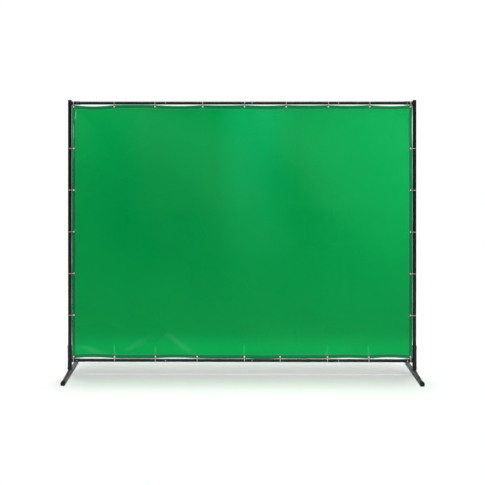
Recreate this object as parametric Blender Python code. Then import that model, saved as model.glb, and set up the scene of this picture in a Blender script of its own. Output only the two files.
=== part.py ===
"""A free-standing welding curtain screen of the 6 ft by 8 ft size, in metres with +Z up.

X runs along the screen, -Y is its front, and Z = 0 is the floor. Two posts stand in two base uprights, and
two rails, each of four plugged tube sections, join them. Each base upright turns on the spigot of a bowed
foot tube. A green vinyl curtain with hemmed, grommeted edges is tied to the posts and rails all round.
"""

import math

import bmesh
import bpy
from mathutils import Matrix, Vector

# Overall sizes: over the two posts, floor to the top of the post caps, and the heights of the two rails.
FRAME_WIDTH = 2.438
FRAME_HEIGHT = 1.922
TOP_RAIL_DROP = 0.022
BOTTOM_RAIL_Z = 0.098
FOOT_LENGTH = 0.610

# Tubes: outer diameter and wall.
POST_OD = 0.0254
RAIL_OD = 0.0222
FOOT_OD = 0.0254
TUBE_WALL = 0.0012
UPRIGHT_WALL = 0.0019
SPIGOT_WALL = 0.0030

# Clearances: between touching pieces, between tubes that slide into each other, and in a bolt's hole.
GAP = 0.0003
SLIDE_GAP = 0.0004
HOLE_GAP = 0.0003

# Base uprights and feet.
UPRIGHT_TOP = 0.205
SPIGOT_HEIGHT = 0.060
FOOT_RISE = 0.0085
FOOT_STRAIGHT_END = 0.060
CAP_WALL = 0.0020
CAP_LENGTH = 0.036
CAP_FLAT_DEPTH = 0.0005

# Rail sockets, rail sections and their snap buttons.
SOCKET_LENGTH = 0.060
SOCKET_STOP = 0.002
CORNER_BUTTON = 0.038
SECTION_STEP = 0.605
MIDDLE_SEAM_X = 0.045
SWAGE_LENGTH = 0.050
SWAGE_TAPER = 0.003
BUTTON_RADIUS = 0.0035
BUTTON_STAND = 0.0026
LEAF_LENGTH = 0.026
LEAF_WIDTH = 0.007
LEAF_THICKNESS = 0.0008
LEAF_DROP = 0.0016

# Screws that clamp the post and the foot's spigot in the base upright.
SCREW_RADIUS = 0.0029
SCREW_HEAD_RADIUS = 0.0053
SCREW_HEAD_HEIGHT = 0.0030
POST_SCREW_DROP = 0.017
FOOT_SCREW_RISE = 0.009

# Curtain: gaps to the posts and to the rail sockets, and its grommets.
CURTAIN_SIDE_GAP = 0.0028
CURTAIN_RAIL_GAP = 0.0008
CURTAIN_THICKNESS = 0.0004
GROMMET_INSET = 0.012
GROMMET_HOLE_RADIUS = 0.005
GROMMET_RADIUS = 0.0095
GROMMET_HEIGHT = 0.0018
SHEET_HOLE_RADIUS = 0.007
HOLES_ALONG = 9
HOLES_UP = 7
# How far each of the inner holes, punched by hand, is off its even place along the top and bottom edges.
TOP_HOLE_OFFSETS = (-0.011, -0.020, 0.019, 0.018, 0.015, 0.015, 0.010)
BOTTOM_HOLE_OFFSETS = (-0.008, -0.017, -0.019, 0.017, -0.027, 0.008, 0.003)

# Nylon ties.
TIE_WIDTH = 0.0036
TIE_THICKNESS = 0.0013
TIE_GAP = 0.0005
TIE_BEND = 0.003
TIE_HEAD = 0.0035

# Sides of round pieces.
TUBE_SIDES = 20
RAIL_SIDES = 16
SMALL_SIDES = 12
GROMMET_SIDES = 8

POST_RADIUS = POST_OD / 2
RAIL_RADIUS = RAIL_OD / 2
FOOT_RADIUS = FOOT_OD / 2
POST_X = FRAME_WIDTH / 2 - POST_RADIUS
TOP_RAIL_Z = FRAME_HEIGHT - TOP_RAIL_DROP
POST_CAP_HEIGHT = 0.0025
UPRIGHT_BORE = POST_RADIUS + SLIDE_GAP
UPRIGHT_RADIUS = UPRIGHT_BORE + UPRIGHT_WALL
SOCKET_BORE = RAIL_RADIUS + SLIDE_GAP
SOCKET_RADIUS = SOCKET_BORE + TUBE_WALL
SWAGE_RADIUS = RAIL_RADIUS - TUBE_WALL - GAP
CAP_BORE = FOOT_RADIUS + GAP
CAP_RADIUS = CAP_BORE + CAP_WALL
FOOT_END_Z = CAP_RADIUS - CAP_FLAT_DEPTH
HUB_Z = FOOT_END_Z + FOOT_RISE
UPRIGHT_BOTTOM = HUB_Z + FOOT_RADIUS + GAP
SPIGOT_TOP = UPRIGHT_BOTTOM + SPIGOT_HEIGHT
POST_SCREW_Z = UPRIGHT_TOP - POST_SCREW_DROP
FOOT_SCREW_Z = UPRIGHT_BOTTOM + FOOT_SCREW_RISE
CURTAIN_WIDTH = FRAME_WIDTH - 2 * (POST_OD + CURTAIN_SIDE_GAP)
CURTAIN_EDGE = SOCKET_RADIUS + CURTAIN_RAIL_GAP
CURTAIN_BOTTOM = BOTTOM_RAIL_Z + CURTAIN_EDGE
CURTAIN_TOP = TOP_RAIL_Z - CURTAIN_EDGE
CORNER_BUTTON_X = POST_X - POST_RADIUS - CORNER_BUTTON
SEAMS = tuple(MIDDLE_SEAM_X + step * SECTION_STEP for step in (-1, 0, 1))
BUTTON_XS = (-CORNER_BUTTON_X, *(seam + SWAGE_LENGTH / 2 for seam in SEAMS), CORNER_BUTTON_X)
SIDES = (("left", -1), ("right", 1))
RAILS = (("top", TOP_RAIL_Z), ("bottom", BOTTOM_RAIL_Z))


def clear_scene():
    for thing in list(bpy.data.objects):
        bpy.data.objects.remove(thing, do_unlink=True)


def material(name, colour, roughness, metallic=0.0):
    made = bpy.data.materials.new(name)
    made.use_nodes = True
    shader = made.node_tree.nodes["Principled BSDF"]
    shader.inputs["Base Color"].default_value = (*colour, 1.0)
    shader.inputs["Roughness"].default_value = roughness
    shader.inputs["Metallic"].default_value = metallic
    made.diffuse_color = (*colour, 1.0)
    return made


def add_object(name, bm, finish=None):
    """An object from a bmesh, with its faces pointing out and its round faces shaded smooth."""
    bmesh.ops.remove_doubles(bm, verts=bm.verts, dist=1e-7)
    bmesh.ops.recalc_face_normals(bm, faces=bm.faces)
    mesh = bpy.data.meshes.new(name)
    bm.to_mesh(mesh)
    bm.free()
    mesh.shade_smooth()
    mesh.set_sharp_from_angle(angle=math.radians(40))
    if finish:
        mesh.materials.append(finish)
    made = bpy.data.objects.new(name, mesh)
    bpy.context.scene.collection.objects.link(made)
    return made


def turned(name, profile, finish=None, sides=TUBE_SIDES, ring=False):
    """A turned piece about its own Z. The profile is (radius, height) points; a ring's profile closes on
    itself, and any other is closed by a flat disc at each end."""
    bm = bmesh.new()
    verts = [bm.verts.new((radius, 0, height)) for radius, height in profile]
    edges = [bm.edges.new(pair) for pair in zip(verts, verts[1:])]
    if ring:
        edges.append(bm.edges.new((verts[-1], verts[0])))
    bmesh.ops.spin(
        bm,
        geom=verts + edges,
        cent=(0, 0, 0),
        axis=(0, 0, 1),
        angle=2 * math.pi,
        steps=sides,
        use_merge=True,
    )
    bmesh.ops.remove_doubles(bm, verts=bm.verts, dist=1e-7)
    if not ring:
        bmesh.ops.holes_fill(bm, edges=bm.edges, sides=0)
    return add_object(name, bm, finish)


def swept(name, path, radius, sides):
    """A solid round bar along a path in the YZ plane, with upright flat ends."""
    bm = bmesh.new()
    rings = []
    for y, z in path:
        ring = []
        for step in range(sides):
            angle = 2 * math.pi * step / sides
            ring.append(bm.verts.new((radius * math.cos(angle), y, z + radius * math.sin(angle))))
        rings.append(ring)
    for ring, following in zip(rings, rings[1:]):
        for step in range(sides):
            after = (step + 1) % sides
            bm.faces.new((ring[step], ring[after], following[after], following[step]))
    bm.faces.new(rings[0])
    bm.faces.new(rings[-1])
    return add_object(name, bm)


def box(name, lowest, highest):
    bm = bmesh.new()
    bmesh.ops.create_cube(bm, size=1)
    low, high = Vector(lowest), Vector(highest)
    bmesh.ops.scale(bm, vec=high - low, verts=bm.verts)
    bmesh.ops.translate(bm, vec=(low + high) / 2, verts=bm.verts)
    return add_object(name, bm)


def place(thing, location, rotation=(0, 0, 0)):
    thing.location = location
    thing.rotation_euler = rotation
    return thing


def combine(piece, tool, operation="DIFFERENCE"):
    """Cut the tool from the piece or weld it on, and keep the tool out of the model."""
    tool.hide_render = True
    tool.display_type = "WIRE"
    step = piece.modifiers.new(operation.lower(), "BOOLEAN")
    step.operation = operation
    step.object = tool


def rod(name, radius, start, end, sides=TUBE_SIDES):
    return turned(name, [(radius, start), (radius, end)], sides=sides)


def button_hole(number, rail_name, z):
    """The cutter of the hole that a snap button stands in, through the front wall of every tube there."""
    hole = rod(
        f"button_hole_{rail_name}_{number + 1}",
        BUTTON_RADIUS + HOLE_GAP,
        LEAF_THICKNESS,
        SOCKET_RADIUS + BUTTON_STAND,
        SMALL_SIDES,
    )
    return place(hole, (BUTTON_XS[number], 0, z), (math.pi / 2, 0, 0))


def screw_hole(name, side, z):
    hole = rod(name, SCREW_RADIUS + HOLE_GAP, SPIGOT_WALL, UPRIGHT_RADIUS + GAP, SMALL_SIDES)
    return place(hole, (side * POST_X, 0, z), (0, side * math.pi / 2, 0))


def make_upright(name, side, bottom, top, radius, bore, rail_z, holes, finish):
    """A post or a base upright: a tube with the socket of one rail welded to its inner side."""
    inward = (0, -side * math.pi / 2, 0)
    tube = place(rod(name, radius, 0, top - bottom), (side * POST_X, 0, bottom))
    tube.data.materials.append(finish)
    reach = POST_RADIUS + SOCKET_LENGTH
    socket = rod(f"{name}_socket", SOCKET_RADIUS, 0, reach)
    combine(tube, place(socket, (side * POST_X, 0, rail_z), inward), "UNION")
    bore_tool = rod(f"{name}_bore", bore, -GAP, top - bottom + GAP)
    combine(tube, place(bore_tool, (side * POST_X, 0, bottom)))
    socket_bore = rod(f"{name}_socket_bore", SOCKET_BORE, radius + SOCKET_STOP, reach + GAP, RAIL_SIDES)
    combine(tube, place(socket_bore, (side * POST_X, 0, rail_z), inward))
    for hole in holes:
        combine(tube, hole)
    return tube


def make_post_cap(name, side, finish):
    plug = POST_RADIUS - TUBE_WALL - GAP
    profile = [
        (plug - 0.0006, -0.010),
        (plug, -0.009),
        (plug, 0),
        (POST_RADIUS, 0),
        (POST_RADIUS, POST_CAP_HEIGHT * 0.5),
        (POST_RADIUS - 0.0012, POST_CAP_HEIGHT),
    ]
    cap = turned(name, profile, finish)
    return place(cap, (side * POST_X, 0, FRAME_HEIGHT - POST_CAP_HEIGHT))


def make_screw(name, side, z, tip, finish):
    """A button-head screw whose shank reaches in to the radius tip, measured from the post's axis."""
    seat = UPRIGHT_RADIUS + GAP
    recess = SCREW_HEAD_RADIUS * 0.33
    profile = [
        (SCREW_RADIUS, tip - seat),
        (SCREW_RADIUS, 0),
        (SCREW_HEAD_RADIUS, 0),
        (SCREW_HEAD_RADIUS, SCREW_HEAD_HEIGHT * 0.3),
        (SCREW_HEAD_RADIUS * 0.75, SCREW_HEAD_HEIGHT * 0.8),
        (recess, SCREW_HEAD_HEIGHT),
        (recess, SCREW_HEAD_HEIGHT * 0.4),
    ]
    screw = turned(name, profile, finish, SMALL_SIDES)
    return place(screw, (side * (POST_X + seat), 0, z), (0, side * math.pi / 2, 0))


def foot_path(half_length):
    """Points down the middle of the foot tube: a low bow with level ends, the same on both sides."""
    bend = half_length - FOOT_STRAIGHT_END
    side = [(bend * step / 5, HUB_Z - FOOT_RISE * (1 - math.cos(math.pi * step / 5)) / 2) for step in range(1, 6)]
    side.append((half_length, FOOT_END_Z))
    return [(-y, z) for y, z in reversed(side)] + [(0, HUB_Z)] + side


def make_foot(name, pivot, finish):
    """The bowed foot tube with the spigot that its base upright turns on, made about the spigot's axis."""
    half = FOOT_LENGTH / 2 - CAP_WALL - GAP
    foot = swept(name, foot_path(half), FOOT_RADIUS, RAIL_SIDES)
    foot.data.materials.append(finish)
    spigot = rod(f"{name}_spigot", POST_RADIUS, HUB_Z, SPIGOT_TOP)
    bore = swept(f"{name}_bore", foot_path(half + 0.001), FOOT_RADIUS - TUBE_WALL, RAIL_SIDES)
    spigot_bore = rod(f"{name}_spigot_bore", POST_RADIUS - SPIGOT_WALL, HUB_Z, SPIGOT_TOP + GAP)
    for tool, operation in ((spigot, "UNION"), (bore, "DIFFERENCE"), (spigot_bore, "DIFFERENCE")):
        tool.parent = pivot
        combine(foot, tool, operation)
    foot.parent = pivot
    return foot


def make_foot_cap(name, end, pivot, floor_cut, finish):
    """A vinyl cup over the foot tube's end, with a flat where it stands on the floor."""
    profile = [
        (CAP_BORE, CAP_LENGTH - CAP_WALL),
        (CAP_BORE, 0),
        (CAP_RADIUS - 0.0005, 0),
        (CAP_RADIUS, 0.0010),
        (CAP_RADIUS, CAP_LENGTH - 0.0030),
        (CAP_RADIUS - 0.0010, CAP_LENGTH - 0.0010),
        (CAP_RADIUS - 0.0040, CAP_LENGTH),
    ]
    cap = turned(name, profile, finish)
    place(cap, (0, end * (FOOT_LENGTH / 2 - CAP_LENGTH), FOOT_END_Z), (-end * math.pi / 2, 0, 0))
    cap.parent = pivot
    combine(cap, floor_cut)
    return cap


def rail_section(name, start, end, swaged, z, finish):
    """A rail tube from start to end in X, whose right end may be swaged down to plug into the next one."""
    inner = RAIL_RADIUS - TUBE_WALL
    length = end - start
    if swaged:
        profile = [
            (inner, 0),
            (RAIL_RADIUS, 0),
            (RAIL_RADIUS, length - SWAGE_TAPER),
            (SWAGE_RADIUS, length),
            (SWAGE_RADIUS, length + SWAGE_LENGTH),
            (SWAGE_RADIUS - TUBE_WALL, length + SWAGE_LENGTH),
            (SWAGE_RADIUS - TUBE_WALL, length),
            (inner, length - SWAGE_TAPER),
        ]
    else:
        profile = [(inner, 0), (RAIL_RADIUS, 0), (RAIL_RADIUS, length), (inner, length)]
    tube = turned(name, profile, finish, RAIL_SIDES, ring=True)
    return place(tube, (start, 0, z), (0, math.pi / 2, 0))


def make_rail(rail_name, z, end_stop, holes, finish):
    """Four plugged sections between the two corner sockets."""
    reach = POST_X - end_stop - SOCKET_STOP - GAP
    edges = (-reach, *SEAMS, reach)
    for number in range(4):
        last = number == 3
        name = f"{rail_name}_rail_{number + 1}"
        section = rail_section(name, edges[number], edges[number + 1], not last, z, finish)
        combine(section, holes[number])
        combine(section, holes[number + 1])


def make_snap_button(name, x, z, corner, finish):
    """A spring button: a round pin on a spring leaf inside the inner tube, made pointing up its own Z."""
    outer = SOCKET_RADIUS if corner else RAIL_RADIUS
    inner_wall = (RAIL_RADIUS if corner else SWAGE_RADIUS) - TUBE_WALL
    tip = outer + BUTTON_STAND
    leaf_top = inner_wall - LEAF_DROP
    leaf_bottom = leaf_top - LEAF_THICKNESS
    profile = [
        (BUTTON_RADIUS, leaf_bottom + LEAF_THICKNESS * 0.25),
        (BUTTON_RADIUS, tip - 0.0012),
        (BUTTON_RADIUS * 0.8, tip - 0.0004),
        (BUTTON_RADIUS * 0.4, tip),
    ]
    button = turned(name, profile, finish, SMALL_SIDES)
    half = LEAF_WIDTH / 2 + GAP
    heel = -BUTTON_RADIUS - 0.0015
    leaf = box(f"{name}_leaf", (heel, -half, leaf_bottom), (heel + LEAF_LENGTH, half, leaf_top))
    leaf.parent = button
    combine(button, leaf, "UNION")
    return place(button, (x, 0, z), (math.pi / 2, 0, 0))


def hole_places():
    """Each grommet's edge, its number along that edge, and its X and Z; corners belong to no edge."""
    half_width = CURTAIN_WIDTH / 2 - GROMMET_INSET
    low, high = CURTAIN_BOTTOM + GROMMET_INSET, CURTAIN_TOP - GROMMET_INSET
    places = [("corner", 0, x, z) for x in (-half_width, half_width) for z in (low, high)]
    pitch = 2 * half_width / (HOLES_ALONG - 1)
    for edge, z, offsets in (("top", high, TOP_HOLE_OFFSETS), ("bottom", low, BOTTOM_HOLE_OFFSETS)):
        for number, offset in enumerate(offsets, 1):
            places.append((edge, number, -half_width + pitch * number + offset, z))
    rise = (high - low) / (HOLES_UP - 1)
    for edge, side in SIDES:
        for number in range(1, HOLES_UP - 1):
            places.append((edge, number, side * half_width, high - rise * number))
    return places


def rings_at(name, places, profile):
    """One object that holds the same ring or rod, turned to face the front, at every place."""
    bm = bmesh.new()
    for _, _, x, z in places:
        verts = [bm.verts.new((x + radius, depth, z)) for radius, depth in profile]
        edges = [bm.edges.new(pair) for pair in zip(verts, verts[1:] + verts[:1])]
        bmesh.ops.spin(
            bm,
            geom=verts + edges,
            cent=(x, 0, z),
            axis=(0, 1, 0),
            angle=2 * math.pi,
            steps=GROMMET_SIDES,
            use_merge=True,
        )
    return add_object(name, bm)


def make_curtain(places, finish):
    """The vinyl sheet with its crimped grommets: the sheet is cleared round each hole, and the ring closes
    on the sheet's edge."""
    half = CURTAIN_THICKNESS / 2
    curtain = box(
        "curtain",
        (-CURTAIN_WIDTH / 2, -half, CURTAIN_BOTTOM),
        (CURTAIN_WIDTH / 2, half, CURTAIN_TOP),
    )
    curtain.data.materials.append(finish)
    ring = GROMMET_HEIGHT / 2
    profile = [
        (GROMMET_HOLE_RADIUS, -ring),
        (GROMMET_RADIUS, -ring),
        (GROMMET_RADIUS, ring),
        (GROMMET_HOLE_RADIUS, ring),
    ]
    bm = bmesh.new()
    for _, _, x, z in places:
        made = bmesh.ops.create_circle(bm, cap_ends=True, segments=GROMMET_SIDES, radius=SHEET_HOLE_RADIUS)
        bmesh.ops.rotate(
            bm,
            verts=made["verts"],
            cent=(0, 0, 0),
            matrix=Matrix.Rotation(math.pi / 2, 3, "X"),
        )
        bmesh.ops.translate(bm, verts=made["verts"], vec=(x, -ring, z))
    grown = bmesh.ops.extrude_face_region(bm, geom=bm.faces[:])
    moved = [item for item in grown["geom"] if isinstance(item, bmesh.types.BMVert)]
    bmesh.ops.translate(bm, verts=moved, vec=(0, 2 * ring, 0))
    combine(curtain, add_object("curtain_holes", bm))
    combine(curtain, rings_at("curtain_grommets", places, profile), "UNION")
    return curtain


def tie_loop(tube_radius, reach):
    """Middle line of a tie's loop: round the tube at the origin, straight to the grommet at -reach in Z,
    through its hole, and back. The second stretch of the straight behind the curtain carries the head."""
    big = tube_radius + TIE_GAP + TIE_THICKNESS / 2
    turn = math.acos((big - TIE_BEND) / reach)
    points = []
    for step in range(10):
        angle = turn + (2 * math.pi - 2 * turn) * step / 9
        points.append((big * math.sin(angle), -big * math.cos(angle)))
    for step in range(5):
        angle = -turn + 2 * turn * step / 4
        points.append((TIE_BEND * math.sin(angle), -reach - TIE_BEND * math.cos(angle)))
    start, end = Vector(points[-1]), Vector(points[0])
    points += [tuple(start.lerp(end, share)) for share in (0.35, 0.60)]
    return points


def make_tie(name, tube_radius, reach, location, rotation, finish):
    """A nylon tie as a closed band, with its locking head on the rear straight."""
    points = [Vector(point) for point in tie_loop(tube_radius, reach)]
    count = len(points)
    bm = bmesh.new()
    rings = []
    for number, point in enumerate(points):
        before, after = points[number - 1], points[(number + 1) % count]
        along = (after - before).normalized()
        out = Vector((-along.y, along.x))
        ring = []
        for x, offset in ((-1, -1), (1, -1), (1, 1), (-1, 1)):
            spot = point + out * offset * TIE_THICKNESS / 2
            ring.append(bm.verts.new((x * TIE_WIDTH / 2, spot.x, spot.y)))
        rings.append(ring)
    head_stretch = count - 2
    for number in range(count):
        ring, following = rings[number], rings[(number + 1) % count]
        for corner in range(4):
            after = (corner + 1) % 4
            if number != head_stretch or corner != 0:
                bm.faces.new((ring[corner], ring[after], following[after], following[corner]))

    # The locking head stands on the outer side of its stretch, in place of that face.
    near, beyond = rings[head_stretch], rings[head_stretch + 1]
    foot = [near[0], near[1], beyond[1], beyond[0]]
    along = (points[head_stretch + 1] - points[head_stretch]).normalized()
    out = Vector((0, along.y, -along.x)) * TIE_HEAD
    top = [bm.verts.new(vert.co + out) for vert in foot]
    for corner in range(4):
        after = (corner + 1) % 4
        bm.faces.new((foot[corner], foot[after], top[after], top[corner]))
    bm.faces.new(top)
    return place(add_object(name, bm, finish), location, rotation)


def make_ties(places, finish):
    """A tie at every grommet but the four corner ones, about the tube beside it."""
    rail_reach = CURTAIN_EDGE + GROMMET_INSET
    post_reach = POST_RADIUS + CURTAIN_SIDE_GAP + GROMMET_INSET
    for edge, number, x, z in places:
        name = f"tie_{edge}_{number}"
        if edge == "top":
            make_tie(name, RAIL_RADIUS, rail_reach, (x, 0, TOP_RAIL_Z), (0, 0, 0), finish)
        elif edge == "bottom":
            turn = (math.pi, 0, math.pi)
            make_tie(name, RAIL_RADIUS, rail_reach, (x, 0, BOTTOM_RAIL_Z), turn, finish)
        elif edge == "left":
            turn = (0, -math.pi / 2, 0)
            make_tie(name, POST_RADIUS, post_reach, (-POST_X, 0, z), turn, finish)
        elif edge == "right":
            turn = (0, math.pi / 2, 0)
            make_tie(name, POST_RADIUS, post_reach, (POST_X, 0, z), turn, finish)


def main():
    clear_scene()
    steel = material("black_powder_coat", (0.012, 0.013, 0.012), 0.38)
    vinyl_cap = material("black_vinyl", (0.010, 0.010, 0.011), 0.55)
    zinc = material("zinc_plated_steel", (0.62, 0.62, 0.60), 0.32, 1.0)
    nylon = material("natural_nylon", (0.80, 0.80, 0.76), 0.45)
    curtain_vinyl = material("green_vinyl", (0.006, 0.30, 0.075), 0.30)

    holes = {name: [button_hole(number, name, z) for number in range(5)] for name, z in RAILS}
    for side_name, side in SIDES:
        post_hole = screw_hole(f"post_screw_hole_{side_name}", side, POST_SCREW_Z)
        foot_hole = screw_hole(f"foot_screw_hole_{side_name}", side, FOOT_SCREW_Z)
        corner = 0 if side < 0 else 4
        make_upright(
            f"post_{side_name}",
            side,
            SPIGOT_TOP + GAP,
            FRAME_HEIGHT - POST_CAP_HEIGHT - GAP,
            POST_RADIUS,
            POST_RADIUS - TUBE_WALL,
            TOP_RAIL_Z,
            (holes["top"][corner], post_hole),
            steel,
        )
        make_upright(
            f"base_upright_{side_name}",
            side,
            UPRIGHT_BOTTOM,
            UPRIGHT_TOP,
            UPRIGHT_RADIUS,
            UPRIGHT_BORE,
            BOTTOM_RAIL_Z,
            (holes["bottom"][corner], post_hole, foot_hole),
            steel,
        )
        make_post_cap(f"post_cap_{side_name}", side, vinyl_cap)
        inside_post = POST_RADIUS - TUBE_WALL - 0.002
        make_screw(f"post_screw_{side_name}", side, POST_SCREW_Z, inside_post, zinc)
        make_screw(f"foot_screw_{side_name}", side, FOOT_SCREW_Z, POST_RADIUS + GAP, zinc)

        pivot = bpy.data.objects.new(f"foot_pivot_{side_name}", None)
        bpy.context.scene.collection.objects.link(pivot)
        pivot.location = (side * POST_X, 0, 0)
        make_foot(f"foot_{side_name}", pivot, steel)
        floor_cut = box(f"floor_cut_{side_name}", (-0.05, -FOOT_LENGTH, -0.02), (0.05, FOOT_LENGTH, 0))
        floor_cut.parent = pivot
        for end_name, end in (("front", -1), ("rear", 1)):
            make_foot_cap(f"foot_cap_{side_name}_{end_name}", end, pivot, floor_cut, vinyl_cap)

    for (name, z), end_stop in zip(RAILS, (POST_RADIUS, UPRIGHT_RADIUS)):
        make_rail(name, z, end_stop, holes[name], steel)
        for number, x in enumerate(BUTTON_XS):
            make_snap_button(f"snap_button_{name}_{number + 1}", x, z, number in (0, 4), zinc)

    places = hole_places()
    make_curtain(places, curtain_vinyl)
    make_ties(places, nylon)


main()
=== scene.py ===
"""A welding curtain screen: black tube frame on two bowed feet, with a green vinyl curtain tied inside it.

X runs along the screen, -Y is its front and +Z is up, in metres.
"""

import math

import bmesh
import bpy
import numpy as np
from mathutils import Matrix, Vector


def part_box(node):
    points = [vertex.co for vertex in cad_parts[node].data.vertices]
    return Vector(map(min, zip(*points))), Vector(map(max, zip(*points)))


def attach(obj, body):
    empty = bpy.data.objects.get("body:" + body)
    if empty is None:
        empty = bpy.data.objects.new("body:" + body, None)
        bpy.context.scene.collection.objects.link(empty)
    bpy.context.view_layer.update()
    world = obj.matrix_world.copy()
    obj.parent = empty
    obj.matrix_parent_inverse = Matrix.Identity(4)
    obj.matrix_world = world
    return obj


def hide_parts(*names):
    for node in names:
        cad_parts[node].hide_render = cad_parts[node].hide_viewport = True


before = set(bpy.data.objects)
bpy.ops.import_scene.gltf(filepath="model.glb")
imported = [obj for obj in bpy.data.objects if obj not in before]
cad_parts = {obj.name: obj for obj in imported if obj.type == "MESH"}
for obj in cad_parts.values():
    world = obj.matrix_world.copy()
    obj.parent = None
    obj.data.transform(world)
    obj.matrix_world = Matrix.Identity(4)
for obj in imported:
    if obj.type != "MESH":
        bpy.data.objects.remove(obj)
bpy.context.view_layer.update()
bpy.ops.object.select_all(action="DESELECT")

# --- Posts and base uprights ----------------------------------------------------------------------
# Round steel tube, 25 mm for the posts and 30 mm for the uprights that they stand in. Each has a short
# socket butt-welded to its inner side for a rail, and the whole is powder coated black after welding.

POST_WALL = 0.0012
UPRIGHT_WALL = 0.0019
SOCKET_WALL = 0.0012
SOCKET_RADIUS = 0.0127
SOCKET_SEAT = 0.002
TUBE_SIDES = 64
EDGE_BREAK = 0.0003
WELD_RADIUS = 0.0016
WELD_RIPPLES = 26
RIPPLE_STEPS = 6
RIPPLE_SWELL = 0.22
BUTTON_RADIUS = 0.0035
BUTTON_HOLE = 0.0038
# How far a button's leaf runs past its pin, and how far a cutting tool runs past what it cuts.
LEAF_LEAD = 0.0015
THROUGH = 0.01
SIDES = (("left", -1), ("right", 1))


def linear(code):
    """An sRGB hex colour as linear red, green, blue and alpha."""
    shares = [int(code[at : at + 2], 16) / 255 for at in (1, 3, 5)]
    return (*[s / 12.92 if s <= 0.04045 else ((s + 0.055) / 1.055) ** 2.4 for s in shares], 1.0)


def add_node(tree, kind, inputs=None, **settings):
    """A node with its settings, and each input either set to a value or linked from a socket."""
    made = tree.nodes.new(kind)
    for name, value in settings.items():
        setattr(made, name, value)
    for name, value in (inputs or {}).items():
        if isinstance(value, bpy.types.NodeSocket):
            tree.links.new(value, made.inputs[name])
        else:
            made.inputs[name].default_value = value
    return made


def new_material(name, **inputs):
    """A named material with its Principled shader, whose plain inputs are set by name."""
    made = bpy.data.materials.new(name)
    made.use_nodes = True
    shader = made.node_tree.nodes["Principled BSDF"]
    for key, value in inputs.items():
        shader.inputs[key.replace("_", " ")].default_value = value
    return made, made.node_tree, shader


def graded(tree, value, stops):
    """A colour ramp on a value, from (position, hex colour) stops."""
    ramp = add_node(tree, "ShaderNodeValToRGB", {"Fac": value})
    ramp.color_ramp.elements[0].position, ramp.color_ramp.elements[1].position = stops[0][0], stops[-1][0]
    for place, code in stops[1:-1]:
        ramp.color_ramp.elements.new(place).color = linear(code)
    ramp.color_ramp.elements[0].color = linear(stops[0][1])
    ramp.color_ramp.elements[len(stops) - 1].color = linear(stops[-1][1])
    return ramp.outputs["Color"]


def noise(tree, place, cell, detail, roughness=0.5):
    """Soft noise whose largest cells are so many metres across."""
    inputs = {"Vector": place, "Scale": 1 / cell, "Detail": detail, "Roughness": roughness}
    return add_node(tree, "ShaderNodeTexNoise", inputs).outputs["Fac"]


def mapped(tree, value, start, end, low, high):
    """A value whose run from start to end is made to run from low to high, and is held past both ends."""
    inputs = {"Value": value, "From Min": start, "From Max": end, "To Min": low, "To Max": high}
    return add_node(tree, "ShaderNodeMapRange", inputs).outputs["Result"]


def mixed(tree, share, first, second):
    """The first colour with a share of the second over it."""
    inputs = {"Factor": share, "A": first, "B": second}
    return add_node(tree, "ShaderNodeMix", inputs, data_type="RGBA").outputs["Result"]


def dented(tree, height, strength, depth):
    """A normal that a height of at most this depth in metres tilts."""
    inputs = {"Height": height, "Strength": strength, "Distance": depth}
    return add_node(tree, "ShaderNodeBump", inputs).outputs["Normal"]


def finish_shader(tree, shader, **links):
    """Link each named input of the shader to its socket."""
    for name, socket in links.items():
        tree.links.new(socket, shader.inputs[name.replace("_", " ")])


def powder_coat():
    """Satin black polyester powder coat over steel: fine orange peel, a little dust and faint rub marks."""
    made, tree, shader = new_material("black_powder_coat", Specular_IOR_Level=0.30)
    place = add_node(tree, "ShaderNodeTexCoord").outputs["Object"]
    patches = noise(tree, place, 0.0455, 5.0)
    rubs = noise(tree, place, 0.0167, 8.0, 0.7)
    # The peel's cells are about 1 mm across, and are drawn at 2.5 mm so that they show.
    peel = noise(tree, place, 0.0025, 2.0)
    coat = graded(tree, patches, ((0.3, "#030403"), (0.7, "#060807")))
    finish_shader(
        tree,
        shader,
        Base_Color=mixed(tree, mapped(tree, rubs, 0.64, 0.74, 0.0, 0.5), coat, linear("#2A2D2B")),
        Roughness=mapped(tree, patches, 0.3, 0.7, 0.30, 0.46),
        Normal=dented(tree, peel, 0.12, 0.0004),
    )
    return made


black_coat = powder_coat()


def only(piece):
    """Make this the one selected and active object, in object mode."""
    if bpy.context.object and bpy.context.object.mode != "OBJECT":
        bpy.ops.object.mode_set(mode="OBJECT")
    bpy.ops.object.select_all(action="DESELECT")
    piece.select_set(True)
    bpy.context.view_layer.objects.active = piece
    return piece


def settle(piece, location=(0, 0, 0), turn=(0, 0, 0)):
    """Turn and move a piece to its place, and put the place into its mesh."""
    only(piece)
    piece.rotation_euler = turn
    piece.location = location
    bpy.ops.object.transform_apply(location=True, rotation=True, scale=True)
    return piece


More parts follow.
